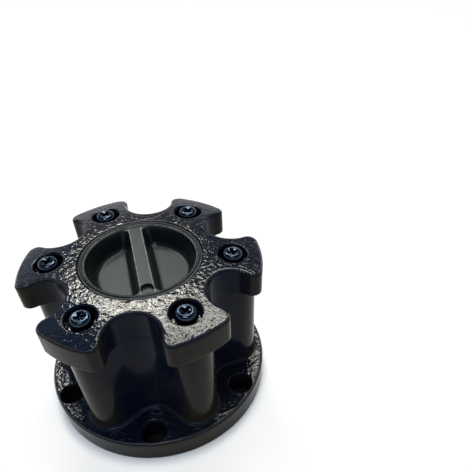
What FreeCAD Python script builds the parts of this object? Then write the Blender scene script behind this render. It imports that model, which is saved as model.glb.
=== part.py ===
import FreeCAD
import Part
import math
import os

# Manual locking hub. Millimetres, +Z up through the dial, origin on the hub's axis
# in the flange's mounting face. Lobes stand at 0, 60, 120 ... degrees from +X.

V = FreeCAD.Vector
UP = V(0, 0, 1)
CENTRE = V(0, 0, 0)

LOBES = 6
LOBE_STEP = 360.0 / LOBES

# Splined bore for the axle shaft. The radii of the drive follow outwards from it.
SHAFT_MINOR_R = 13.2
SHAFT_TOOTH_H = 1.5
SHAFT_SPLINES = 20
SHAFT_MAJOR_R = SHAFT_MINOR_R + SHAFT_TOOTH_H
SHAFT_GROOVE_W = math.pi * SHAFT_MINOR_R / SHAFT_SPLINES

# Inner hub, and the bush that carries it
INNER_WALL = 5.25
BUSH_WALL = 3.5
BUSH_FLANGE_W = 1.0
BUSH_FLANGE_H = 1.2
RUNNING_GAP = 0.05
JOURNAL_R = SHAFT_MAJOR_R + INNER_WALL
BUSH_BORE_R = JOURNAL_R + RUNNING_GAP
BUSH_SEAT_R = BUSH_BORE_R + BUSH_WALL
BUSH_FLANGE_R = BUSH_SEAT_R + BUSH_FLANGE_W

# Teeth: inner hub, clutch ring (inside and outside) and housing
TEETH = 24
GEAR_SHOULDER = 2.05
TOOTH_H = 2.0
TOOTH_GAP = 0.4
TOOTH_SIDE_GAP = 0.2
CLUTCH_WALL = 2.2
GEAR_ROOT_R = JOURNAL_R + GEAR_SHOULDER
GEAR_TIP_R = GEAR_ROOT_R + TOOTH_H
MESH_TIP_R = GEAR_ROOT_R + TOOTH_GAP
MESH_ROOT_R = GEAR_TIP_R + TOOTH_GAP
CLUTCH_ROOT_R = MESH_ROOT_R + CLUTCH_WALL
CLUTCH_TIP_R = CLUTCH_ROOT_R + TOOTH_H
BODY_TIP_R = CLUTCH_ROOT_R + TOOTH_GAP
BODY_ROOT_R = CLUTCH_TIP_R + TOOTH_GAP
MESH_TOOTH_W = math.pi * MESH_TIP_R / TEETH - TOOTH_SIDE_GAP
OUTER_TOOTH_W = math.pi * BODY_TIP_R / TEETH - TOOTH_SIDE_GAP

# Follower tube and the dial's cam skirt inside it
FOLLOWER_GAP = 1.0
TUBE_WALL = 2.4
SKIRT_GAP = 0.5
SKIRT_WALL = 3.5
TUBE_R = MESH_TIP_R - FOLLOWER_GAP
TUBE_BORE_R = TUBE_R - TUBE_WALL
SKIRT_R = TUBE_BORE_R - SKIRT_GAP
SKIRT_INNER_R = SKIRT_R - SKIRT_WALL
PIN_R = 2.0
PINS = 3

# Housing: bore for the cap's spigot, scoops for the bolt sockets, flange
SPIGOT_STEP = 1.0
SPIGOT_BORE_R = BODY_ROOT_R + SPIGOT_STEP
SPIGOT_BORE_H = 4.2
SPIGOT_R = SPIGOT_BORE_R - RUNNING_GAP
CAVITY_R = SPIGOT_BORE_R
SCALLOP_WALL = 4.0
SCALLOP_R = 11.0
SCALLOP_AT = SPIGOT_BORE_R + SCALLOP_WALL + SCALLOP_R
BOLT_R = 5.5
BOLT_OUT = 2.0
BOLT_EDGE = 7.0
BOLT_AT = SCALLOP_AT + BOLT_OUT
BOLT_CHAMFER = 0.6
FLANGE_R = BOLT_AT + BOLT_EDGE
FLANGE_H = 12.0
FLANGE_EDGE = 1.2
FLANGE_FOOT_EDGE = 0.6
FOOT_FILLET = 2.0
CAVITY_CHAMFER = 1.2

# Cap and its screws
CAP_STEP = 1.3
CAP_R = FLANGE_R - CAP_STEP
DIAL_SHOULDER = 8.0
DIAL_R = SKIRT_R + DIAL_SHOULDER
DIAL_GAP = 0.2
DIAL_BORE_R = DIAL_R + DIAL_GAP
SKIRT_BORE_R = SKIRT_R + 0.07
SCREW_AT = (DIAL_BORE_R + CAP_R) / 2.0
SCREW_HOLE_R = 2.75
SCREW_HEAD_R = 4.7
SCREW_HEAD_DOME = 2.4
SCREW_PROUD = 0.4
RECESS_R = 3.2
RECESS_DEEP = 2.6
RECESS_HALF_W = 0.75
TAPPED_R = 2.5
THREAD_GAP = 0.05
COUNTERBORE_GAP = 1.7
COUNTERBORE_R = SCREW_HEAD_R + COUNTERBORE_GAP
COUNTERBORE_LIP = 0.7
LOBE_CORNER = 4.0
CAP_EDGE_FILLET = 1.3
SEAM_CHAMFER = 0.4
CROWN_INNER_R = DIAL_BORE_R + 2.3
PILLAR_WALL = 7.1
PILLAR_STEP = 3.2
PILLAR_R = TAPPED_R + PILLAR_WALL
PILLAR_AT = CAP_R - PILLAR_STEP - PILLAR_R
SCOOP_STEP = 0.2
SCOOP_R = SCALLOP_R + SCOOP_STEP
SCOOP_AT = SCALLOP_AT - 2 * SCOOP_STEP

# Travel of the clutch, and the turn of the dial that gives it
TRAVEL = 8.0
DIAL_TURN = 90.0
MESH_DEPTH = 5.4

# Heights, upwards from the flange's mounting face
CAVITY_H = 13.0
RING_H = 1.2
RING_ROOM = 2.2
BUSH_SEAT_H = 13.0
WASHER_H = 1.3
END_PLAY = 0.1
GEAR_H = 9.0
SHELF_Z = CAVITY_H + BUSH_SEAT_H
BUSH_LOW_Z = CAVITY_H + RING_ROOM
GEAR_LOW_Z = SHELF_Z + WASHER_H + END_PLAY
GEAR_TOP_Z = GEAR_LOW_Z + GEAR_H
INNER_LOW_Z = CAVITY_H - 0.6
CLUTCH_LOW_Z = GEAR_TOP_Z - MESH_DEPTH + TRAVEL
MESH_H = 6.4
CLUTCH_LIP_H = 2.0
POCKET_H = 2.5
CLUTCH_TEETH_TOP_Z = CLUTCH_LOW_Z + MESH_H
CLUTCH_LIP_Z = CLUTCH_TEETH_TOP_Z + RING_H + 4 * END_PLAY
POCKET_Z = CLUTCH_LIP_Z + CLUTCH_LIP_H
CLUTCH_TOP_Z = POCKET_Z + POCKET_H
POCKET_R = CLUTCH_ROOT_R - 1.4
LIP_BORE_R = TUBE_R + 0.35
FOLLOWER_RING_Z = CLUTCH_LIP_Z - END_PLAY - RING_H
TUBE_LOW_Z = FOLLOWER_RING_Z - 0.7
SPRING_ROOM = 2.5
FOLLOWER_FLANGE_H = 1.6
FOLLOWER_FLANGE_Z = CLUTCH_TOP_Z + SPRING_ROOM
FOLLOWER_TOP_Z = FOLLOWER_FLANGE_Z + FOLLOWER_FLANGE_H
PIN_Z = FOLLOWER_FLANGE_Z - 3.4
SKIRT_LOW_Z = PIN_Z - TRAVEL - 3.7
SLOT_H = 2 * PIN_R + 0.7
DIAL_RING_Z = FOLLOWER_TOP_Z + 1.0
WEB_LOW_Z = DIAL_RING_Z + RING_H + 2 * END_PLAY
SPIGOT_H = 3.0
SEAM_Z = WEB_LOW_Z + SPIGOT_H
WEB_H = 5.2
WEB_TOP_Z = WEB_LOW_Z + WEB_H
CAP_SEAL_Z = SEAM_Z - 1.15
TAPPED_H = 18.0
TAPPED_LOW_Z = SEAM_Z - TAPPED_H
CAP_H = 14.1
CAP_CENTRE_Z = SEAM_Z + CAP_H
CAP_SCREW_Z = CAP_CENTRE_Z - 0.6
COUNTERBORE_H = 4.1
COUNTERBORE_Z = CAP_SCREW_Z - COUNTERBORE_H

# Seals
SEAL_DEEP = 1.55
SEAL_HALF = 0.85
SEAL_GROOVE_R = DIAL_R - SEAL_DEEP

# Dial
DIAL_PROUD = 0.4
FLOOR_WALL = 2.7
BAR_SUNK = 1.3
DIAL_RIM = 2.3
DIAL_TOP_Z = CAP_CENTRE_Z + DIAL_PROUD
DIAL_LOW_Z = WEB_TOP_Z + END_PLAY
BOWL_FLOOR_Z = DIAL_LOW_Z + FLOOR_WALL
BAR_TOP_Z = DIAL_TOP_Z - BAR_SUNK
BOWL_MOUTH_R = DIAL_R - DIAL_RIM
BOWL_WALL_R = BOWL_MOUTH_R - 0.4
BOWL_FLOOR_R = BOWL_WALL_R - 3.0
POCKET_CORNER_FOOT = 1.8
POCKET_CORNER_TOP = 3.2
POCKET_FOOT_FILLET = 1.8
POCKET_FOOT_STEPS = 4
BAR_ANGLE = 102.0
BAR_HALF_TOP = 2.9
BAR_HALF_FOOT = 5.4
DIMPLE_R = 2.7
DIMPLE_AT = BOWL_WALL_R - 3.7
DIMPLE_DEEP = 1.6
SEAL_GROOVE_Z = DIAL_TOP_Z - 4.9

# Detent
BALL_R = 2.0
BALL_AT = SKIRT_R + BALL_R + 1.1
BALL_SINK = 0.8
BALL_DROP = 0.4
BALL_HOLE_TOP_Z = BAR_TOP_Z - 3.2

# Retaining rings in their grooves
RING_GROOVE_DEEP = 1.0
RING_STAND = 2.2
BUSH_RING_Z = BUSH_LOW_Z - END_PLAY - RING_H
INNER_RING_Z = BUSH_LOW_Z - 3 * END_PLAY - RING_H
RING_GROOVE_R = BUSH_SEAT_R + 1.1

# Height that every cut from above reaches
ABOVE_Z = DIAL_TOP_Z + 4.5


def cylinder(radius, low, high, at=(0.0, 0.0)):
    return Part.makeCylinder(radius, high - low, V(at[0], at[1], low), UP)


def tube(outer, inner, low, high):
    return cylinder(outer, low, high).cut(cylinder(inner, low - 1, high + 1))


def polar(radius, degrees):
    a = math.radians(degrees)
    return radius * math.cos(a), radius * math.sin(a)


def turned(shape, degrees):
    copy = shape.copy()
    copy.rotate(CENTRE, UP, degrees)
    return copy


def ringed(shape, count, start=0.0):
    step = 360.0 / count
    return [turned(shape, start + step * i) for i in range(count)]


def revolved_edges(edges):
    return Part.Face(Part.Wire(edges)).revolve(CENTRE, UP, 360)


def line(a, b):
    return Part.makeLine(V(a[0], 0, a[1]), V(b[0], 0, b[1]))


def arc(a, mid, b):
    return Part.Arc(V(a[0], 0, a[1]), V(mid[0], 0, mid[1]), V(b[0], 0, b[1])).toShape()


def tooth_box(inner, outer, width, low, high):
    return Part.makeBox(outer - inner, width, high - low, V(inner, -width / 2.0, low))


def splined_shaft(root, tip, width, low, high, count):
    bars = ringed(tooth_box(root - 1.5, tip + 1.0, width, low, high), count)
    core = cylinder(root, low, high)
    return core.fuse(bars).common(cylinder(tip, low, high)).removeSplitter()


def pillar_profile():
    """Outline of the housing above its flange: six pillars and six scoops for the bolt socket,
    joined by the line that is tangent to both, which opens the scoop outwards."""
    half = math.radians(LOBE_STEP / 2.0)
    pillar = V(PILLAR_AT, 0, 0)
    scoop = V(SCOOP_AT * math.cos(half), SCOOP_AT * math.sin(half), 0)
    apart = scoop - pillar
    lean = math.acos((PILLAR_R + SCOOP_R) / apart.Length)
    bearing = math.atan2(apart.y, apart.x) - lean
    normal = V(math.cos(bearing), math.sin(bearing), 0)
    leave = pillar + normal * PILLAR_R
    enter = scoop - normal * SCOOP_R
    deep = V((SCOOP_AT - SCOOP_R) * math.cos(half), (SCOOP_AT - SCOOP_R) * math.sin(half), 0)
    tip = V(PILLAR_AT + PILLAR_R, 0, 0)
    turn = 2 * half
    enter_next = mirrored(enter, turn)
    leave_next = mirrored(leave, turn)
    sector = [
        Part.Arc(V(leave.x, -leave.y, 0), tip, leave).toShape(),
        Part.makeLine(leave, enter),
        Part.Arc(enter, deep, enter_next).toShape(),
        Part.makeLine(enter_next, leave_next),
    ]
    edges = []
    for i in range(LOBES):
        edges += [turned(edge, LOBE_STEP * i) for edge in sector]
    return Part.Wire(Part.__sortEdges__(edges))


def mirrored(point, turn):
    """The point mirrored in the ray at half of turn, in radians."""
    cos, sin = math.cos(turn), math.sin(turn)
    return V(point.x * cos + point.y * sin, point.x * sin - point.y * cos, 0)


def near_z(edge, z):
    box = edge.BoundBox
    return abs(box.ZMin - z) < 1e-4 and abs(box.ZMax - z) < 1e-4


def make_hub_body():
    flange = cylinder(FLANGE_R, 0, FLANGE_H)
    flange = flange.makeFillet(FLANGE_EDGE, [e for e in flange.Edges if near_z(e, FLANGE_H)])
    flange = flange.makeFillet(FLANGE_FOOT_EDGE, [e for e in flange.Edges if near_z(e, 0)])
    face = Part.Face(pillar_profile())
    face.translate(V(0, 0, FLANGE_H - 1))
    column = face.extrude(V(0, 0, SEAM_Z - FLANGE_H + 1))
    shape = flange.fuse(column).removeSplitter()
    foot = []
    for edge in shape.Edges:
        far = max(math.hypot(v.Point.x, v.Point.y) for v in edge.Vertexes)
        if near_z(edge, FLANGE_H) and far < PILLAR_AT + PILLAR_R + 1:
            foot.append(edge)
    shape = shape.makeFillet(FOOT_FILLET, foot)
    bores = [
        cylinder(CAVITY_R, -1, CAVITY_H),
        cylinder(BUSH_SEAT_R, CAVITY_H - 1, SHELF_Z),
        cylinder(RING_GROOVE_R, BUSH_RING_Z, BUSH_RING_Z + RING_H),
        cylinder(BUSH_FLANGE_R, SHELF_Z - BUSH_FLANGE_H, SHELF_Z + 1),
        cylinder(BODY_ROOT_R, SHELF_Z, SEAM_Z),
        cylinder(SPIGOT_BORE_R, SEAM_Z - SPIGOT_BORE_H, SEAM_Z + 1),
    ]
    for i in range(LOBES):
        bolt_x, bolt_y = polar(BOLT_AT, LOBE_STEP * (i + 0.5))
        bores.append(cylinder(BOLT_R, -1, FLANGE_H + 1, (bolt_x, bolt_y)))
        bores.append(Part.makeCone(BOLT_R, BOLT_R + 2 * BOLT_CHAMFER, 2 * BOLT_CHAMFER,
                                   V(bolt_x, bolt_y, FLANGE_H - BOLT_CHAMFER), UP))
        bores.append(cylinder(TAPPED_R, TAPPED_LOW_Z, SEAM_Z + 1, polar(SCREW_AT, LOBE_STEP * i)))
    chamfer = Part.makeCone(CAVITY_R + CAVITY_CHAMFER, CAVITY_R, CAVITY_CHAMFER, V(0, 0, 0), UP)
    shape = shape.cut(bores + [chamfer])
    spline_top = SEAM_Z - SPIGOT_BORE_H - 1.0
    bars = ringed(tooth_box(BODY_TIP_R - 1, BODY_ROOT_R + 0.5, OUTER_TOOTH_W, SHELF_Z, spline_top), TEETH)
    ring = tube(BODY_ROOT_R + 0.4, BODY_TIP_R, SHELF_Z, spline_top)
    return shape.fuse([bar.common(ring) for bar in bars]).removeSplitter()


def cap_profile():
    half = math.asin(SCALLOP_R / CAP_R)
    step = math.radians(LOBE_STEP)
    edges = []
    for i in range(LOBES):
        mid = step * (i + 0.5)
        along = V(math.cos(mid), math.sin(mid), 0)
        side = V(-math.sin(mid), math.cos(mid), 0)
        reach = math.sqrt(CAP_R ** 2 - SCALLOP_R ** 2)
        low = along * SCALLOP_AT - side * SCALLOP_R
        high = along * SCALLOP_AT + side * SCALLOP_R
        low_out = along * reach - side * SCALLOP_R
        high_out = along * reach + side * SCALLOP_R
        after = mid + step / 2
        next_low = V(CAP_R * math.cos(mid + step - half), CAP_R * math.sin(mid + step - half), 0)
        edges.append(Part.makeLine(low_out, low))
        edges.append(Part.Arc(low, along * (SCALLOP_AT - SCALLOP_R), high).toShape())
        edges.append(Part.makeLine(high, high_out))
        peak = V(CAP_R * math.cos(after), CAP_R * math.sin(after), 0)
        edges.append(Part.Arc(high_out, peak, next_low).toShape())
    return Part.Wire(Part.__sortEdges__(edges))


def make_hub_cap():
    face = Part.Face(cap_profile())
    face.translate(V(0, 0, SEAM_Z))
    shape = face.extrude(V(0, 0, CAP_H + 1))
    corners = []
    for edge in shape.Edges:
        a, b = edge.Vertexes[0].Point, edge.Vertexes[-1].Point
        upright = abs(a.x - b.x) < 1e-6 and abs(a.y - b.y) < 1e-6 and abs(a.z - b.z) > 1
        if upright and math.hypot(a.x, a.y) > CAP_R - 0.1:
            corners.append(edge)
    shape = shape.makeFillet(LOBE_CORNER, corners)
    beyond = CAP_R + 7.3
    crown = revolved_edges([
        line((0, SEAM_Z - 1), (beyond, SEAM_Z - 1)),
        line((beyond, SEAM_Z - 1), (beyond, CAP_CENTRE_Z - 4.2)),
        arc((beyond, CAP_CENTRE_Z - 4.2), (SCREW_AT, CAP_SCREW_Z), (CROWN_INNER_R, CAP_CENTRE_Z)),
        line((CROWN_INNER_R, CAP_CENTRE_Z), (0, CAP_CENTRE_Z)),
        line((0, CAP_CENTRE_Z), (0, SEAM_Z - 1)),
    ])
    shape = shape.common(crown)
    rim = [e for e in shape.Edges if e.BoundBox.ZMin > SEAM_Z + CAP_H / 2 and outer_edge(e)]
    shape = shape.makeFillet(CAP_EDGE_FILLET, rim)
    shape = shape.makeChamfer(SEAM_CHAMFER, [e for e in shape.Edges if near_z(e, SEAM_Z)])
    shape = shape.fuse(cylinder(SPIGOT_R, WEB_LOW_Z, SEAM_Z + 1))
    groove = tube(SPIGOT_R + 1, SPIGOT_R - SEAL_DEEP, CAP_SEAL_Z - SEAL_HALF, CAP_SEAL_Z + SEAL_HALF)
    cuts = [
        groove,
        cylinder(SKIRT_BORE_R, WEB_LOW_Z - 1, WEB_TOP_Z + 1),
        cylinder(DIAL_BORE_R, WEB_TOP_Z, ABOVE_Z),
        Part.makeCone(DIAL_BORE_R, DIAL_BORE_R + 0.8, 0.8, V(0, 0, CAP_CENTRE_Z - 0.5), UP),
        detent_track(),
    ]
    for i in range(LOBES):
        at = polar(SCREW_AT, LOBE_STEP * i)
        cuts.append(cylinder(SCREW_HOLE_R, WEB_LOW_Z, ABOVE_Z, at))
        cuts.append(cylinder(COUNTERBORE_R, COUNTERBORE_Z, ABOVE_Z, at))
        cuts.append(counterbore_lip(at))
    return shape.cut(cuts).removeSplitter()


def counterbore_lip(at):
    """Cone that breaks the counterbore's edge, square to the sloping crown at the screw."""
    slope = (CAP_CENTRE_Z - CAP_SCREW_Z) / (SCREW_AT - CROWN_INNER_R) + 0.03
    out = V(at[0], at[1], 0).normalize()
    normal = V(out.x * slope, out.y * slope, 1).normalize()
    start = V(at[0], at[1], CAP_SCREW_Z) - normal * (2 * COUNTERBORE_LIP)
    return Part.makeCone(COUNTERBORE_R - COUNTERBORE_LIP, COUNTERBORE_R + 2 * COUNTERBORE_LIP,
                         3 * COUNTERBORE_LIP, start, normal)


def outer_edge(edge):
    """True for an edge of the cap's crown, false for the flat ring round the dial."""
    reach = max(math.hypot(v.Point.x, v.Point.y) for v in edge.Vertexes)
    return reach > CROWN_INNER_R + SCALLOP_WALL


def detent_track():
    """Groove in the cap's web that the ball runs in, with a deeper pocket at each end."""
    z = WEB_TOP_Z - BALL_SINK + BALL_R
    r = BALL_R + 0.1
    section = Part.makeCircle(r, V(BALL_AT, 0, z), V(0, 1, 0))
    sweep = Part.Face(Part.Wire(section)).revolve(CENTRE, UP, -DIAL_TURN)
    shapes = [turned(sweep, BAR_ANGLE)]
    for turn in (0.0, -DIAL_TURN):
        x, y = polar(BALL_AT, BAR_ANGLE + turn)
        for centre_z in (z, z - BALL_DROP):
            shapes.append(Part.makeSphere(r, V(x, y, centre_z), V(x, y, 0)))
    return shapes[0].fuse(shapes[1:])


def cross_recess():
    """Cross recess: two tapered blades, narrower towards the bottom."""
    blades = []
    for turn in (0, 90):
        wide, deep, half = RECESS_R, RECESS_DEEP, RECESS_HALF_W
        pts = [V(-wide, 0, 1), V(wide, 0, 1), V(wide, 0, 0), V(0.7, 0, -deep), V(-0.7, 0, -deep),
               V(-wide, 0, 0), V(-wide, 0, 1)]
        blade = Part.Face(Part.makePolygon(pts)).extrude(V(0, 2 * half, 0))
        blade.translate(V(0, -half, 0))
        blades.append(turned(blade, turn))
    dish = Part.makeCone(RECESS_HALF_W, RECESS_R * 0.8, RECESS_DEEP / 2, V(0, 0, -RECESS_DEEP / 2), UP)
    return blades[0].fuse([blades[1], dish])


def make_cap_screw():
    head_r, dome = SCREW_HEAD_R, SCREW_HEAD_DOME
    low, top = COUNTERBORE_Z, CAP_SCREW_Z + SCREW_PROUD
    ball = (head_r ** 2 + dome ** 2) / (2 * dome)
    mid = 0.7 * head_r
    mid_z = top - ball + math.sqrt(ball ** 2 - mid ** 2)
    shank_r = TAPPED_R - THREAD_GAP
    tip = TAPPED_LOW_Z + 2.0
    body = revolved_edges([
        line((0, tip), (shank_r - 0.8, tip)),
        line((shank_r - 0.8, tip), (shank_r, tip + 0.8)),
        line((shank_r, tip + 0.8), (shank_r, low)),
        line((shank_r, low), (head_r, low)),
        line((head_r, low), (head_r, top - dome)),
        arc((head_r, top - dome), (mid, mid_z), (0, top)),
        line((0, top), (0, tip)),
    ])
    cutter = cross_recess()
    cutter.translate(V(0, 0, top - 0.6))
    screw = body.cut(cutter)
    screw.translate(V(SCREW_AT, 0, 0))
    return screw


def make_cap_screws():
    spins = (12, 68, 35, 80, 50, 24)
    solids = []
    for i, spin in enumerate(spins):
        screw = make_cap_screw()
        screw.rotate(V(SCREW_AT, 0, 0), UP, spin)
        solids.append(turned(screw, LOBE_STEP * i))
    return Part.makeCompound(solids)


def pocket_outline(half_bar, wall_r, corner, z):
    """D-shaped outline beside the bar: a chord, an arc of the bowl's wall and two corner arcs."""
    cy = half_bar + corner
    cx = math.sqrt((wall_r - corner) ** 2 - cy ** 2)
    reach = wall_r / (wall_r - corner)
    bisect = math.atan2(cy, cx)
    middle = (bisect - math.pi / 2) / 2
    mx, my = cx + corner * math.cos(middle), cy + corner * math.sin(middle)
    right = [V(cx, half_bar, z), V(mx, my, z), V(cx * reach, cy * reach, z)]
    left = [V(-p.x, p.y, z) for p in right]
    return Part.Wire([
        Part.makeLine(left[0], right[0]),
        Part.Arc(right[0], right[1], right[2]).toShape(),
        Part.Arc(right[2], V(0, wall_r, z), left[2]).toShape(),
        Part.Arc(left[2], left[1], left[0]).toShape(),
    ])


def finger_pocket():
    """Pocket beside the bar, wider at its mouth. Its rounded foot is a run of inset outlines."""
    outlines = []
    for step in range(POCKET_FOOT_STEPS + 1):
        a = math.pi / 2 * step / POCKET_FOOT_STEPS
        inset = POCKET_FOOT_FILLET * (1 - math.sin(a))
        z = BOWL_FLOOR_Z + POCKET_FOOT_FILLET * (1 - math.cos(a))
        share = (z - BOWL_FLOOR_Z) / (BAR_TOP_Z - BOWL_FLOOR_Z)
        half_bar = BAR_HALF_FOOT + (BAR_HALF_TOP - BAR_HALF_FOOT) * share + inset
        wall_r = BOWL_FLOOR_R + (BOWL_WALL_R - BOWL_FLOOR_R) * share - inset
        outlines.append(pocket_outline(half_bar, wall_r, POCKET_CORNER_FOOT, z))
    outlines.append(pocket_outline(BAR_HALF_TOP, BOWL_WALL_R, POCKET_CORNER_TOP, BAR_TOP_Z))
    return Part.makeLoft(outlines, True, True)


def helical_slot(start):
    """A slot through the cam skirt: a rectangle on a left-hand helix, one travel per dial turn,
    with room for the pin at both ends."""
    spare = 8.0
    lead = TRAVEL * 360.0 / DIAL_TURN
    rise = TRAVEL + 2 * spare * lead / 360.0
    low = PIN_Z - TRAVEL - spare * lead / 360.0
    path = Part.makeHelix(lead, rise, SKIRT_R, 0, True)
    r0, r1 = SKIRT_INNER_R - 1.5, SKIRT_R + 1.5
    section = Part.makePolygon([
        V(r0, 0, -SLOT_H / 2), V(r1, 0, -SLOT_H / 2), V(r1, 0, SLOT_H / 2), V(r0, 0, SLOT_H / 2),
        V(r0, 0, -SLOT_H / 2),
    ])
    slot = Part.Wire(path).makePipeShell([section], True, True)
    slot.translate(V(0, 0, low))
    return turned(slot, start + DIAL_TURN + spare)


def make_dial():
    blank = revolved_edges([
        line((0, BAR_TOP_Z), (BOWL_WALL_R, BAR_TOP_Z)),
        line((BOWL_WALL_R, BAR_TOP_Z), (BOWL_MOUTH_R, DIAL_TOP_Z - 0.7)),
        arc((BOWL_MOUTH_R, DIAL_TOP_Z - 0.7), (BOWL_MOUTH_R + 0.4, DIAL_TOP_Z - 0.2), (DIAL_R - 1.3, DIAL_TOP_Z)),
        arc((DIAL_R - 1.3, DIAL_TOP_Z), (DIAL_R - 0.35, DIAL_TOP_Z - 0.35), (DIAL_R, DIAL_TOP_Z - 1.1)),
        line((DIAL_R, DIAL_TOP_Z - 1.1), (DIAL_R, DIAL_LOW_Z + 0.5)),
        line((DIAL_R, DIAL_LOW_Z + 0.5), (DIAL_R - 0.5, DIAL_LOW_Z)),
        line((DIAL_R - 0.5, DIAL_LOW_Z), (0, DIAL_LOW_Z)),
        line((0, DIAL_LOW_Z), (0, BAR_TOP_Z)),
    ])
    pocket = finger_pocket()
    blank = blank.cut([turned(pocket, BAR_ANGLE), turned(pocket, BAR_ANGLE + 180)])
    skirt = tube(SKIRT_R, SKIRT_INNER_R, SKIRT_LOW_Z, DIAL_LOW_Z + 0.5)
    shape = blank.fuse(skirt)
    dimple_x, dimple_y = polar(DIMPLE_AT, BAR_ANGLE + 180)
    dimple = cylinder(DIMPLE_R, BAR_TOP_Z - DIMPLE_DEEP, ABOVE_Z, (dimple_x, dimple_y))
    lip = Part.makeCone(DIMPLE_R, DIMPLE_R + 0.6, 0.6, V(dimple_x, dimple_y, BAR_TOP_Z - 0.3), UP)
    cuts = [
        tube(DIAL_R + 1, SEAL_GROOVE_R, SEAL_GROOVE_Z - SEAL_HALF, SEAL_GROOVE_Z + SEAL_HALF),
        tube(SKIRT_R + 1, SKIRT_R - RING_GROOVE_DEEP, DIAL_RING_Z, DIAL_RING_Z + RING_H),
        cylinder(BALL_R + 0.05, DIAL_LOW_Z - 1, BALL_HOLE_TOP_Z, polar(BALL_AT, BAR_ANGLE)),
        dimple,
        lip,
    ]
    for i in range(PINS):
        cuts.append(helical_slot(360.0 / PINS * i))
    return shape.cut(cuts).removeSplitter()


def torus(mean, section, z):
    return Part.makeTorus(mean, section, V(0, 0, z), UP)


def make_cap_o_ring():
    floor = SPIGOT_R - SEAL_DEEP
    section = (SPIGOT_BORE_R - floor) / 2.0
    return torus(floor + section, section, CAP_SEAL_Z)


def make_dial_o_ring():
    section = (DIAL_BORE_R - SEAL_GROOVE_R) / 2.0 - RUNNING_GAP / 2.0
    return torus(SEAL_GROOVE_R + section, section, SEAL_GROOVE_Z)


def snap_ring(inner, outer, low, high, gap_at, gap):
    """Open ring: a flat ring cut by a gap of the given width."""
    ring = tube(outer, inner, low, high)
    notch = tooth_box(inner - 3, outer + 3, gap, low - 1, high + 1)
    return ring.cut(turned(notch, gap_at))


def external_ring(groove_r, outer, low, high, gap_at):
    """Open ring with a hole for the pliers in each end."""
    ring = snap_ring(groove_r, outer, low, high, gap_at, 5.0)
    middle = (groove_r + outer) / 2.0
    for side in (-1, 1):
        ring = ring.cut(cylinder(0.6, low - 1, high + 1, polar(middle, gap_at + side * 11.0)))
    return ring


def make_dial_snap_ring():
    return external_ring(SKIRT_R - RING_GROOVE_DEEP, SKIRT_R + RING_STAND, DIAL_RING_Z, DIAL_RING_Z + RING_H, 45.0)


def make_inner_snap_ring():
    return external_ring(JOURNAL_R - RING_GROOVE_DEEP, BUSH_BORE_R + 1.5, INNER_RING_Z, INNER_RING_Z + RING_H, 200.0)


def make_bearing_snap_ring():
    low, high = BUSH_RING_Z, BUSH_RING_Z + RING_H
    inner = RING_GROOVE_R - 2.6
    ring = snap_ring(inner, RING_GROOVE_R, low, high, 90.0, 6.0)
    for side in (-1, 1):
        ring = ring.cut(cylinder(0.7, low - 1, high + 1, polar(inner + 1.25, 90 + side * 11.0)))
    return ring


def make_follower_snap_ring():
    low, high = FOLLOWER_RING_Z, FOLLOWER_RING_Z + RING_H
    return snap_ring(TUBE_R - RING_GROOVE_DEEP, MESH_ROOT_R - 2 * TOOTH_GAP, low, high, 30.0, 6.0)


def spring(mean, wire, low, high, turns, sides=8):
    """Coil with ground ends: the helix runs past both seats and is cut flat on them."""
    pitch = (high - low) / turns
    path = Part.makeHelix(pitch, high - low + 2 * wire, mean)
    reach = wire / math.cos(math.pi / sides)
    points = []
    for i in range(sides):
        a = math.pi * (2 * i + 1) / sides
        points.append(V(mean + reach * math.cos(a), 0, reach * math.sin(a)))
    section = Part.makePolygon(points + [points[0]])
    coil = Part.Wire(path).makePipeShell([section], True, True)
    coil.translate(V(0, 0, low - wire))
    slab = Part.makeBox(4 * mean, 4 * mean, high - low, V(-2 * mean, -2 * mean, low))
    return coil.common(slab)


def make_detent_ball():
    x, y = polar(BALL_AT, BAR_ANGLE)
    return Part.makeSphere(BALL_R, V(x, y, WEB_TOP_Z - BALL_SINK + BALL_R))


def make_detent_spring():
    low = WEB_TOP_Z - BALL_SINK + 2 * BALL_R - 0.15
    coil = spring(1.1, 0.3, low, BALL_HOLE_TOP_Z, 3.5, 6)
    x, y = polar(BALL_AT, BAR_ANGLE)
    coil.translate(V(x, y, 0))
    return coil


def make_cam_follower():
    shape = tube(TUBE_R, TUBE_BORE_R, TUBE_LOW_Z, FOLLOWER_TOP_Z)
    shape = shape.fuse(tube(CLUTCH_ROOT_R, TUBE_BORE_R, FOLLOWER_FLANGE_Z, FOLLOWER_TOP_Z))
    keys = ringed(tooth_box(CLUTCH_ROOT_R - 1, CLUTCH_TIP_R, OUTER_TOOTH_W, FOLLOWER_FLANGE_Z,
                            FOLLOWER_TOP_Z), PINS, 360.0 / TEETH / 2.0)
    shape = shape.fuse(keys)
    cuts = [tube(TUBE_R + 1, TUBE_R - RING_GROOVE_DEEP, FOLLOWER_RING_Z, FOLLOWER_RING_Z + RING_H)]
    cuts += ringed(Part.makeCylinder(PIN_R, 8, V(TUBE_BORE_R - 2, 0, PIN_Z), V(1, 0, 0)), PINS)
    return shape.cut(cuts).removeSplitter()


def make_follower_pins():
    tip = SKIRT_INNER_R + 0.8
    pin = Part.makeCylinder(PIN_R, TUBE_R - tip, V(tip, 0, PIN_Z), V(1, 0, 0))
    pin = pin.makeChamfer(0.4, [e for e in pin.Edges if abs(e.BoundBox.XMax - tip) < 1e-4])
    return Part.makeCompound(ringed(pin, PINS))


def make_engagement_spring():
    return spring((TUBE_R + POCKET_R) / 2.0, 0.8, POCKET_Z, FOLLOWER_FLANGE_Z, 1.75)


def make_return_spring():
    return spring((GEAR_TIP_R + BODY_TIP_R) / 2.0, 0.65, SHELF_Z, CLUTCH_LOW_Z, 3.25)


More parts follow.
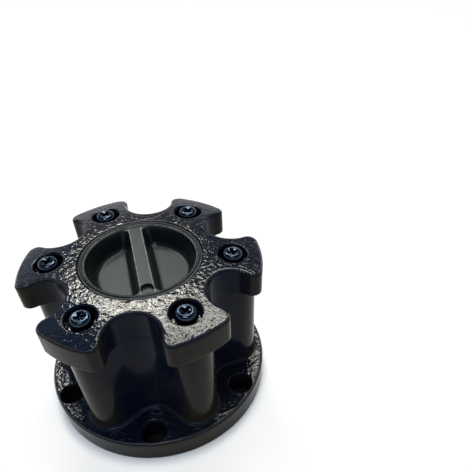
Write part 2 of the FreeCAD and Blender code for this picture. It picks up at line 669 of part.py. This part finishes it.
def make_clutch_ring():
    offset = 360.0 / TEETH / 2.0
    blank = splined_shaft(CLUTCH_ROOT_R, CLUTCH_TIP_R, OUTER_TOOTH_W, CLUTCH_LOW_Z, CLUTCH_TOP_Z, TEETH)
    shape = turned(blank, offset)
    bores = [
        cylinder(MESH_ROOT_R, CLUTCH_LOW_Z - 1, CLUTCH_LIP_Z),
        cylinder(LIP_BORE_R, CLUTCH_LIP_Z - 1, POCKET_Z + 1),
        cylinder(POCKET_R, POCKET_Z, CLUTCH_TOP_Z + 1),
    ]
    shape = shape.cut(bores)
    bars = ringed(tooth_box(MESH_TIP_R - 1, MESH_ROOT_R + 0.6, MESH_TOOTH_W, CLUTCH_LOW_Z,
                            CLUTCH_TEETH_TOP_Z), TEETH, offset)
    ring = tube(MESH_ROOT_R + 0.5, MESH_TIP_R, CLUTCH_LOW_Z, CLUTCH_TEETH_TOP_Z)
    return shape.fuse([bar.common(ring) for bar in bars]).removeSplitter()


def make_inner_hub():
    journal = cylinder(JOURNAL_R, INNER_LOW_Z, GEAR_LOW_Z + 1)
    gear = splined_shaft(GEAR_ROOT_R, GEAR_TIP_R, MESH_TOOTH_W, GEAR_LOW_Z, GEAR_TOP_Z, TEETH)
    bevel = Part.makeCone(GEAR_TIP_R + 0.5, GEAR_TIP_R - 1.5, 2.0, V(0, 0, GEAR_TOP_Z - 2.0 + 0.5), UP)
    low_part = cylinder(GEAR_TIP_R + 1, GEAR_LOW_Z, GEAR_TOP_Z - 1.5)
    gear = gear.common(low_part.fuse(bevel))
    shape = journal.fuse(gear)
    bore = splined_shaft(SHAFT_MINOR_R, SHAFT_MAJOR_R, SHAFT_GROOVE_W, INNER_LOW_Z - 1, GEAR_TOP_Z + 1, SHAFT_SPLINES)
    cuts = [
        bore,
        tube(JOURNAL_R + 1, JOURNAL_R - RING_GROOVE_DEEP, INNER_RING_Z, INNER_RING_Z + RING_H),
        Part.makeCone(SHAFT_MAJOR_R + 1, SHAFT_MAJOR_R - 1.5, 2.5, V(0, 0, INNER_LOW_Z), UP),
    ]
    return shape.cut(cuts).removeSplitter()


def make_inner_bearing():
    shape = tube(BUSH_SEAT_R, BUSH_BORE_R, BUSH_LOW_Z, SHELF_Z)
    return shape.fuse(tube(BUSH_FLANGE_R, BUSH_BORE_R, SHELF_Z - BUSH_FLANGE_H, SHELF_Z)).removeSplitter()


def make_thrust_washer():
    return tube(GEAR_TIP_R - TOOTH_GAP, BUSH_BORE_R + RUNNING_GAP, SHELF_Z, SHELF_Z + WASHER_H)


def main():
    os.makedirs("parts", exist_ok=True)
    nodes = {
        "hub_body": make_hub_body,
        "hub_cap": make_hub_cap,
        "cap_screws": make_cap_screws,
        "cap_o_ring": make_cap_o_ring,
        "dial": make_dial,
        "dial_o_ring": make_dial_o_ring,
        "dial_snap_ring": make_dial_snap_ring,
        "detent_ball": make_detent_ball,
        "detent_spring": make_detent_spring,
        "cam_follower": make_cam_follower,
        "follower_pins": make_follower_pins,
        "follower_snap_ring": make_follower_snap_ring,
        "engagement_spring": make_engagement_spring,
        "clutch_ring": make_clutch_ring,
        "return_spring": make_return_spring,
        "inner_hub": make_inner_hub,
        "inner_bearing": make_inner_bearing,
        "thrust_washer": make_thrust_washer,
        "inner_snap_ring": make_inner_snap_ring,
        "bearing_snap_ring": make_bearing_snap_ring,
    }
    for name, make in nodes.items():
        shape = make()
        print(name, len(shape.Solids), shape.isValid(), round(shape.Volume, 1))
        shape.exportStep("parts/" + name + ".step")


main()
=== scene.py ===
import math

import bmesh
import bpy
from mathutils import Matrix, Vector


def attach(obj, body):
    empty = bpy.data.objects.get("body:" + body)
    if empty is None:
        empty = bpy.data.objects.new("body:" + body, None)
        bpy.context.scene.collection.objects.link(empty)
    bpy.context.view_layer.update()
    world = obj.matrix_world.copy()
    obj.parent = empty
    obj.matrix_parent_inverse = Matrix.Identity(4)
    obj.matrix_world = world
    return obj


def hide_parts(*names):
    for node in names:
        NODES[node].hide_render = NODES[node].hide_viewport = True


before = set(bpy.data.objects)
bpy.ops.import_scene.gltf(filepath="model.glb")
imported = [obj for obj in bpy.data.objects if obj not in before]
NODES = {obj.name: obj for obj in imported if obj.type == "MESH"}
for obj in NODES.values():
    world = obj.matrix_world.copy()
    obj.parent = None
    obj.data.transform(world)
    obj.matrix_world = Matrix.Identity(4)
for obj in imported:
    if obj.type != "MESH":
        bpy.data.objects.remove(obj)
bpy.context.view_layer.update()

FRAME_PX = 472.0
MM = 0.001

# Camera fitted to the photograph: place in metres, elevation, roll and turn in degrees.
CAMERA_AT = Vector((40.69, -155.32, 197.52)) * MM
CAMERA_ELEVATION = 43.86
CAMERA_ROLL = -1.24
CAMERA_TURN = -2.91
CAMERA_FOCAL_PX = 457.3
CAMERA_CENTRE_PX = (236.0, 299.4)

# Lamps, each with its azimuth from +Y towards -X, its elevation, its width and its height
# in degrees as seen from the cap, then its radiance and its color.
LAMP_FAR = 1.2
LAMP_AIM_Z = 0.06
WHITE = (1.0, 1.0, 1.0)
WARM = (1.0, 0.985, 0.87)
LAMPS = (
    ("left_window", 18.0, 46.5, 15.0, 8.0, 30.0, WARM),
    ("right_window", -10.0, 58.0, 30.0, 14.0, 14.0, WARM),
    ("high_pane", -8.0, 72.0, 11.0, 8.0, 15.0, WARM),
    ("ceiling", 0.0, 84.0, 20.0, 20.0, 2.4, WHITE),
    ("sky_left", 46.0, 38.0, 28.0, 26.0, 0.4, (0.20, 0.50, 1.0)),
    ("sky_over", 180.0, 78.0, 34.0, 26.0, 1.0, (0.08, 0.42, 1.0)),
    ("front_strip", 170.0, 62.0, 26.0, 2.4, 48.0, (0.88, 0.95, 1.0)),
)

# World strength at the horizon and overhead, and the sines of elevation it fades between.
WORLD_LOW = 1.0
WORLD_TOP = 0.16
WORLD_FADE = (0.20, 0.58)

# Floor in metres: bands of radius for its dark disc of painted shade and for the share of its own
# light.
FLOOR_SIZE = 8.0
FLOOR_Z = -0.00005
SHADE_DISC_EDGE = (0.0525, 0.0535)
GLOW_NEAR = (0.0530, 0.0600, 0.0, 0.7)
GLOW_FAR = (0.4, 1.6, 0.0, 0.3)
PAINTED_SHADE_DISC = (0.006, 0.006, 0.006, 1)
FLOOR_PALE = (0.90, 0.90, 0.90, 1)

# Cap screws in mm, in the places and at the turns that the CAD gives them.
SCREW_AT = 39.7
SCREW_SPINS = (12, 68, 35, 80, 50, 24)
SCREW_SIDES = 96
HEAD_R = 4.7
HEAD_TOP = 75.4
RIM_Z = 72.4
SEAT_Z = 70.4
LIP_R = 2.7
SLOT_R = 2.5
SLOT_HALF = 0.75
SLOT_DEEP = 2.0
SLOT_SLOPE = 4.0
DISH_DEEP = 0.45
DISH_RINGS = 22
LIP_RINGS = 14
SHANK_R = 2.4
TIP_Z = 45.0

# Paint: colors, depth of the grain in metres, and how far up a face looks to carry grain.
# Navy and brown tint the near black paint as painted blue and warm reflections.
NAVY_PAINTED_REFLECTION = (0.0016, 0.0044, 0.0130, 1)
BROWN_PAINTED_REFLECTION = (0.0125, 0.0105, 0.0070, 1)
GRAIN_DEEP = 0.00018
GRAIN_UP = 0.75

# Dial: colors, with the lighter floor colours as painted sheen, turn of the bar, and in metres the
# places of the worn edges and their painted highlight.
DIAL_FLOOR_SHEEN_LOW = (0.022, 0.027, 0.028, 1)
DIAL_FLOOR_SHEEN_HIGH = (0.040, 0.047, 0.048, 1)
DIAL_TOP = (0.006, 0.008, 0.009, 1)
# Bare-metal grey of the dial's edges: partly wear, partly a painted highlight.
DIAL_WORN_GLINT = (0.20, 0.215, 0.215, 1)
BAR_TURN = math.radians(102.0)
BAR_EDGE = 0.0028
BAR_END = (0.0232, 0.0238)
BOWL_MOUTH_R = 0.0242
RIM_EDGE = (0.0260, 0.0264)
WEAR_AND_GLINT_Z = (0.0736, 0.0740)
TOP_Z = (0.0742, 0.0748)


class Graph:
    """A material's node tree, with short calls for the nodes used here."""

    def __init__(self, name):
        self.material = bpy.data.materials.new(name)
        self.material.use_nodes = True
        self.tree = self.material.node_tree
        self.shader = self.tree.nodes["Principled BSDF"]
        self.coords = self.add("ShaderNodeTexCoord")

    def add(self, kind, **settings):
        node = self.tree.nodes.new(kind)
        for key, value in settings.items():
            setattr(node, key, value)
        return node

    def put(self, socket, value):
        if isinstance(value, bpy.types.NodeSocket):
            self.tree.links.new(value, socket)
        else:
            socket.default_value = value

    def math(self, operation, a, b=0.0):
        node = self.add("ShaderNodeMath", operation=operation)
        self.put(node.inputs[0], a)
        self.put(node.inputs[1], b)
        return node.outputs[0]

    def band(self, value, low, high, to_low=0.0, to_high=1.0):
        node = self.add("ShaderNodeMapRange", interpolation_type="SMOOTHSTEP")
        self.put(node.inputs["Value"], value)
        node.inputs["From Min"].default_value = low
        node.inputs["From Max"].default_value = high
        node.inputs["To Min"].default_value = to_low
        node.inputs["To Max"].default_value = to_high
        return node.outputs["Result"]

    def line(self, value, centre, half):
        """1 near the centre, falling to 0 where the value is half away from it."""
        apart = self.math("ABSOLUTE", self.math("SUBTRACT", value, centre))
        return self.band(apart, half * 0.4, half, 1.0, 0.0)

    def noise(self, scale, detail=3.0, rough=0.5, distort=0.0, vector=None):
        node = self.add("ShaderNodeTexNoise")
        self.put(node.inputs["Vector"], vector or self.coords.outputs["Object"])
        node.inputs["Scale"].default_value = scale
        node.inputs["Detail"].default_value = detail
        node.inputs["Roughness"].default_value = rough
        node.inputs["Distortion"].default_value = distort
        return node.outputs["Fac"]

    def blobs(self, scale):
        node = self.add("ShaderNodeTexVoronoi", feature="SMOOTH_F1")
        self.put(node.inputs["Vector"], self.coords.outputs["Object"])
        node.inputs["Scale"].default_value = scale
        return node.outputs["Distance"]

    def up(self):
        """How far a face looks up: 1 on a level top, 0 on a wall."""
        return self.split(self.coords.outputs["Normal"])[2]

    def split(self, vector):
        node = self.add("ShaderNodeSeparateXYZ")
        self.put(node.inputs[0], vector)
        return node.outputs

    def join(self, x, y, z):
        node = self.add("ShaderNodeCombineXYZ")
        for socket, value in zip(node.inputs, (x, y, z)):
            self.put(socket, value)
        return node.outputs[0]

    def mix(self, factor, a, b):
        node = self.add("ShaderNodeMix", data_type="RGBA")
        self.put(node.inputs["Factor"], factor)
        self.put(node.inputs[6], a)
        self.put(node.inputs[7], b)
        return node.outputs[2]

    def rounded(self, radius):
        """Normal with every edge softened over the radius, so that edges catch the light."""
        node = self.add("ShaderNodeBevel", samples=6)
        node.inputs["Radius"].default_value = radius
        return node.outputs["Normal"]

    def bump(self, height, distance, strength=1.0, under=None):
        node = self.add("ShaderNodeBump")
        node.inputs["Strength"].default_value = strength
        node.inputs["Distance"].default_value = distance
        self.put(node.inputs["Height"], height)
        if under is not None:
            self.put(node.inputs["Normal"], under)
        return node.outputs["Normal"]

    def finish(self, color, rough, normal=None, metal=0.0, specular=0.5):
        self.put(self.shader.inputs["Base Color"], color)
        self.put(self.shader.inputs["Roughness"], rough)
        self.shader.inputs["Metallic"].default_value = metal
        self.shader.inputs["Specular IOR Level"].default_value = specular
        if normal is not None:
            self.put(self.shader.inputs["Normal"], normal)
        return self.material


def radius_of(g):
    """Distance from the hub's axis in metres."""
    x, y, _ = g.split(g.coords.outputs["Object"])
    return g.math("SQRT", g.math("ADD", g.math("MULTIPLY", x, x), g.math("MULTIPLY", y, y)))


def paint_color(g):
    """Near black: navy as a painted blue reflection, with brown as a painted warm reflection in soft
    patches and more of it on the outer walls.
    """
    # Brown is a painted warm reflection: in soft random patches, and more on the outer upright walls.
    lighter_share = g.band(g.noise(45.0, 4.0), 0.35, 0.65, 0.0, 0.35)
    outer = g.band(radius_of(g), 0.040, 0.049)
    upright = g.math("SUBTRACT", 1.0, g.band(g.up(), 0.3, 0.7))
    warm_reflection = g.math("ADD", lighter_share, g.math("MULTIPLY", g.math("MULTIPLY", outer, upright), 0.65))
    return g.mix(warm_reflection, NAVY_PAINTED_REFLECTION, BROWN_PAINTED_REFLECTION)


def grain_paint():
    """Gloss black paint over the coarse grain that the mould leaves on faces that look up."""
    g = Graph("paint_on_grain")
    flat = g.band(g.up(), GRAIN_UP, 0.97)
    lump = g.blobs(560.0)
    main = g.noise(620.0, 2.0, 0.45, 0.7)
    wide = g.noise(260.0, 3.0, 0.5, 1.0)
    height = g.math("ADD", g.math("MULTIPLY", lump, 0.7), main)
    height = g.math("ADD", height, g.math("MULTIPLY", wide, 0.8))
    grain = g.bump(g.math("MULTIPLY", height, flat), GRAIN_DEEP, 1.0, g.rounded(0.0007))
    return g.finish(paint_color(g), 0.09, grain, specular=0.35)


def wall_paint():
    """The same paint on the smooth walls, with a slight orange peel."""
    g = Graph("paint_on_walls")
    peel = g.bump(g.noise(170.0, 2.0), 0.00008, 1.0, g.rounded(0.0009))
    rough = g.band(g.noise(150.0, 3.0), 0.3, 0.7, 0.10, 0.20)
    return g.finish(paint_color(g), rough, peel, specular=0.07)


def paint_cast(*names):
    """Grain on faces that look up, smooth paint on the walls and underneath."""
    grain, wall = grain_paint(), wall_paint()
    for name in names:
        data = NODES[name].data
        data.materials.clear()
        data.materials.append(wall)
        data.materials.append(grain)
        for face in data.polygons:
            face.material_index = 1 if face.normal.z > GRAIN_UP else 0


def dial_black():
    """Satin black with faint straight tool marks on the level faces. The level faces below the top
    carry a lighter colour as a painted sheen, so the rim, the bar's top and the walls stay darker; and
    bare metal on the bar's long edges, the bowl's mouth and the rim is partly wear and partly a
    painted highlight."""
    g = Graph("dial_satin_black")
    x, y, z = g.split(g.coords.outputs["Object"])
    along = g.join(g.math("MULTIPLY", x, 900.0), g.math("MULTIPLY", y, 60.0), z)
    streak = g.noise(1.0, 3.0, 0.6, 0.0, along)
    up = g.band(g.up(), 0.9, 0.99)
    marks = g.bump(g.math("MULTIPLY", streak, up), 0.00006, 0.8, g.rounded(0.0005))
    soft = g.bump(g.noise(350.0, 2.0), 0.00004, 0.6, marks)
    # Painted sheen: level faces below the top get the lighter floor colours, the rim, bar top and
    # walls the dark base.
    floor_sheen = g.math("MULTIPLY", up, g.band(z, *TOP_Z, 1.0, 0.0))
    color = g.mix(floor_sheen, DIAL_TOP, g.mix(streak, DIAL_FLOOR_SHEEN_LOW, DIAL_FLOOR_SHEEN_HIGH))
    # Bare metal on the upper edges: partly wear, partly a painted highlight.
    lighter_share = dial_wear_and_glint(g, x, y, z)
    color = g.mix(lighter_share, color, DIAL_WORN_GLINT)
    rough = g.mix(up, (0.18, 0.18, 0.18, 1), (0.35, 0.35, 0.35, 1))
    rough = g.math("ADD", g.split(rough)[0], g.math("MULTIPLY", g.noise(120.0, 3.0), 0.06))
    return g.finish(color, rough, soft, specular=0.12)


def dial_wear_and_glint(g, x, y, z):
    """Share of bare metal on the dial's upper edges, broken up by noise: partly wear, partly a painted
    highlight along the edges.
    """
    away = radius_of(g)
    across = g.math("MULTIPLY", x, math.sin(BAR_TURN))
    across = g.math("ABSOLUTE", g.math("SUBTRACT", across, g.math("MULTIPLY", y, math.cos(BAR_TURN))))
    edges = g.math("MULTIPLY", g.line(across, BAR_EDGE, 0.0005), g.band(away, *BAR_END, 1.0, 0.0))
    edges = g.math("MAXIMUM", edges, g.line(away, BOWL_MOUTH_R, 0.0004))
    lighter_share = g.math("MAXIMUM", g.band(away, *RIM_EDGE), g.math("MULTIPLY", edges, 0.6))
    lighter_share = g.math("MULTIPLY", lighter_share, g.band(z, *WEAR_AND_GLINT_Z))
    return g.math("MULTIPLY", lighter_share, g.band(g.noise(420.0, 2.0), 0.3, 0.6, 0.45, 1.0))


def metal(name, color, shade, rough_low, rough_high, scale, depth):
    """Bare metal, clouded from its color down to a shade of it and between two roughnesses."""
    g = Graph(name)
    cloud = g.noise(scale, 4.0)
    tint = g.mix(cloud, (*color, 1), (*[c * shade for c in color], 1))
    rough = g.band(g.noise(scale * 2.3, 3.0), 0.3, 0.7, rough_low, rough_high)
    return g.finish(tint, rough, g.bump(cloud, depth, 0.4), metal=1.0)


def rubber():
    g = Graph("seal_rubber")
    color = g.mix(g.noise(400.0, 3.0), (0.012, 0.012, 0.012, 1), (0.022, 0.021, 0.020, 1))
    return g.finish(color, 0.62, g.bump(g.noise(900.0, 2.0), 0.0001, 0.3))


def dress(material, *names):
    for name in names:
        data = NODES[name].data
        data.materials.clear()
        data.materials.append(material)


def head_height(x, y):
    """Top of a screw head in mm: dish, rounded lip, steep side and a cross recess."""
    r = math.hypot(x, y)
    if r < LIP_R:
        top = HEAD_TOP - DISH_DEEP * (1.0 - (r / LIP_R) ** 2)
    else:
        share = (r - LIP_R) / (HEAD_R - LIP_R)
        top = RIM_Z + (HEAD_TOP - RIM_Z) * math.sqrt(max(0.0, 1.0 - share ** 2))
    blade = min(max(abs(x) - SLOT_HALF, abs(y) - SLOT_R), max(abs(y) - SLOT_HALF, abs(x) - SLOT_R))
    return top - min(max(-blade * SLOT_SLOPE, 0.0), SLOT_DEEP)


def screw_ring(mesh, at, slew, radius, height=None):
    """Ring of vertices round a screw's axis, on its head where no height is given."""
    made = []
    for k in range(SCREW_SIDES):
        a = 2 * math.pi * k / SCREW_SIDES
        z = head_height(radius * math.cos(a), radius * math.sin(a)) if height is None else height
        a += slew
        spot = at + Vector((radius * math.cos(a), radius * math.sin(a), z))
        made.append(mesh.verts.new(spot * MM))
    return made


def make_screws():
    """Six cap screws in one mesh: polar heads on plain shanks, in place of the plainer solids."""
    mesh = bmesh.new()
    heads = [LIP_R * (i + 1) / DISH_RINGS for i in range(DISH_RINGS)]
    heads += [LIP_R + (HEAD_R - LIP_R) * math.sin(math.pi / 2 * (i + 1) / LIP_RINGS)
              for i in range(LIP_RINGS)]
    for index, spin in enumerate(SCREW_SPINS):
        turn = math.radians(60.0 * index)
        slew = math.radians(60.0 * index + spin)
        at = Vector((SCREW_AT * math.cos(turn), SCREW_AT * math.sin(turn), 0.0))
        rings = [screw_ring(mesh, at, slew, radius) for radius in heads]
        rings += [screw_ring(mesh, at, slew, radius, height)
                  for radius, height in ((HEAD_R, SEAT_Z), (SHANK_R, SEAT_Z), (SHANK_R, TIP_Z))]
        for a, b in zip(rings, rings[1:]):
            for k in range(SCREW_SIDES):
                n = (k + 1) % SCREW_SIDES
                mesh.faces.new((a[k], b[k], b[n], a[n]))
        mesh.faces.new(rings[0])
        mesh.faces.new(list(reversed(rings[-1])))
    bmesh.ops.recalc_face_normals(mesh, faces=mesh.faces)
    data = bpy.data.meshes.new("cap_screw_heads")
    mesh.to_mesh(data)
    mesh.free()
    data.polygons.foreach_set("use_smooth", [True] * len(data.polygons))
    screws = bpy.data.objects.new("cap_screw_heads", data)
    bpy.context.scene.collection.objects.link(screws)
    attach(screws, "housing")
    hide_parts("cap_screws")
    return screws


def dress_all():
    paint_cast("hub_body", "hub_cap")
    dress(dial_black(), "dial")
    screws = make_screws()
    # Screw metal: a dark bluish zinc finish, made darker than the metal is as a painted shade so the
    # polished heads stay dark.
    dark = metal("screw_dark", (0.034, 0.050, 0.078), 0.6, 0.10, 0.18, 500.0, 0.00004)
    screws.data.materials.append(dark)
    dress(metal("machined_steel", (0.45, 0.45, 0.46), 0.75, 0.22, 0.4, 300.0, 0.0001),
          "cam_follower", "follower_pins", "clutch_ring", "inner_hub", "thrust_washer", "detent_ball")
    dress(metal("spring_steel", (0.22, 0.22, 0.24), 0.7, 0.3, 0.45, 400.0, 0.0001),
          "detent_spring", "engagement_spring", "return_spring", "dial_snap_ring",
          "follower_snap_ring", "inner_snap_ring", "bearing_snap_ring")
    dress(metal("bearing_brass", (0.62, 0.40, 0.16), 0.75, 0.22, 0.38, 300.0, 0.0001), "inner_bearing")
    dress(rubber(), "cap_o_ring", "dial_o_ring")


def make_floor():
    """Pale floor, partly self-lit for camera, glossy and transmission rays so that it stays near white
    and keeps a light shadow. A dark disc under the flange is painted shade, so that its holes show
    dark."""
    bpy.ops.mesh.primitive_plane_add(size=FLOOR_SIZE, location=(0, 0, FLOOR_Z))
    floor = bpy.context.object
    floor.name = "studio_floor"
    g = Graph("floor_pale")
    away = radius_of(g)
    # Painted shade: a dark disc where the flange stands.
    pale_and_painted_shade = g.mix(g.band(away, *SHADE_DISC_EDGE), PAINTED_SHADE_DISC, FLOOR_PALE)
    g.finish(pale_and_painted_shade, 0.8, specular=0.1)
    path = g.add("ShaderNodeLightPath").outputs
    seen = g.math("MAXIMUM", path["Is Camera Ray"], path["Is Glossy Ray"])
    seen = g.math("MAXIMUM", seen, path["Is Transmission Ray"])
    open_floor = g.math("ADD", g.band(away, *GLOW_NEAR), g.band(away, *GLOW_FAR))
    glow = g.add("ShaderNodeEmission")
    blend = g.add("ShaderNodeMixShader")
    g.put(blend.inputs[0], g.math("MULTIPLY", seen, open_floor))
    g.put(blend.inputs[1], g.shader.outputs[0])
    g.put(blend.inputs[2], glow.outputs[0])
    g.put(g.tree.nodes["Material Output"].inputs["Surface"], blend.outputs[0])
    floor.data.materials.append(g.material)


def make_world():
    """Pale round the horizon, dim overhead, so the lamps shape the gloss."""
    world = bpy.data.worlds.new("studio")
    bpy.context.scene.world = world
    world.use_nodes = True
    tree = world.node_tree
    coords = tree.nodes.new("ShaderNodeTexCoord")
    axes = tree.nodes.new("ShaderNodeSeparateXYZ")
    fade = tree.nodes.new("ShaderNodeMapRange")
    fade.interpolation_type = "SMOOTHSTEP"
    for name, value in zip(("From Min", "From Max", "To Min", "To Max"),
                           (*WORLD_FADE, WORLD_LOW, WORLD_TOP)):
        fade.inputs[name].default_value = value
    tree.links.new(coords.outputs["Generated"], axes.inputs[0])
    tree.links.new(axes.outputs[2], fade.inputs["Value"])
    tree.links.new(fade.outputs["Result"], tree.nodes["Background"].inputs["Strength"])
    tree.nodes["Background"].inputs["Color"].default_value = (1, 1, 1, 1)


def window(name, azimuth, elevation, width, height, radiance, color):
    """Rectangular lamp that faces the cap."""
    a, e = math.radians(azimuth), math.radians(elevation)
    aim = Vector((0, 0, LAMP_AIM_Z))
    toward = Vector((-math.sin(a) * math.cos(e), math.cos(a) * math.cos(e), math.sin(e)))
    place = aim + LAMP_FAR * toward
    data = bpy.data.lights.new(name, "AREA")
    data.shape = "RECTANGLE"
    data.size = 2 * LAMP_FAR * math.tan(math.radians(width / 2))
    data.size_y = 2 * LAMP_FAR * math.tan(math.radians(height / 2))
    data.energy = radiance * math.pi * data.size * data.size_y
    data.color = color
    lamp = bpy.data.objects.new(name, data)
    bpy.context.scene.collection.objects.link(lamp)
    lamp.location = place
    lamp.rotation_euler = (aim - place).to_track_quat("-Z", "Y").to_euler()


def make_camera():
    """Camera on the fitted place and axes, spun about the hub's axis by CAMERA_TURN."""
    turn, lift = math.radians(CAMERA_TURN), math.radians(CAMERA_ELEVATION)
    back = Vector((0, -math.cos(lift), math.sin(lift)))
    right = (-back).cross(Vector((0, 0, 1))).normalized()
    up = right.cross(-back)
    roll = math.radians(CAMERA_ROLL)
    right, up = (right * math.cos(roll) + up * math.sin(roll),
                 up * math.cos(roll) - right * math.sin(roll))
    basis = Matrix((right, up, back)).transposed().to_4x4()
    spin = Matrix.Rotation(turn, 4, "Z")
    data = bpy.data.cameras.new("camera")
    camera = bpy.data.objects.new("camera", data)
    bpy.context.scene.collection.objects.link(camera)
    camera.matrix_world = spin @ Matrix.Translation(CAMERA_AT) @ basis
    data.sensor_width = 36.0
    data.sensor_fit = "HORIZONTAL"
    data.lens = CAMERA_FOCAL_PX / FRAME_PX * data.sensor_width
    data.shift_x = (FRAME_PX / 2 - CAMERA_CENTRE_PX[0]) / FRAME_PX
    data.shift_y = (CAMERA_CENTRE_PX[1] - FRAME_PX / 2) / FRAME_PX
    data.clip_start = 0.01
    bpy.context.scene.camera = camera


dress_all()
make_floor()
make_world()
for lamp in LAMPS:
    window(*lamp)
make_camera()
bpy.context.scene.view_settings.view_transform = "Standard"
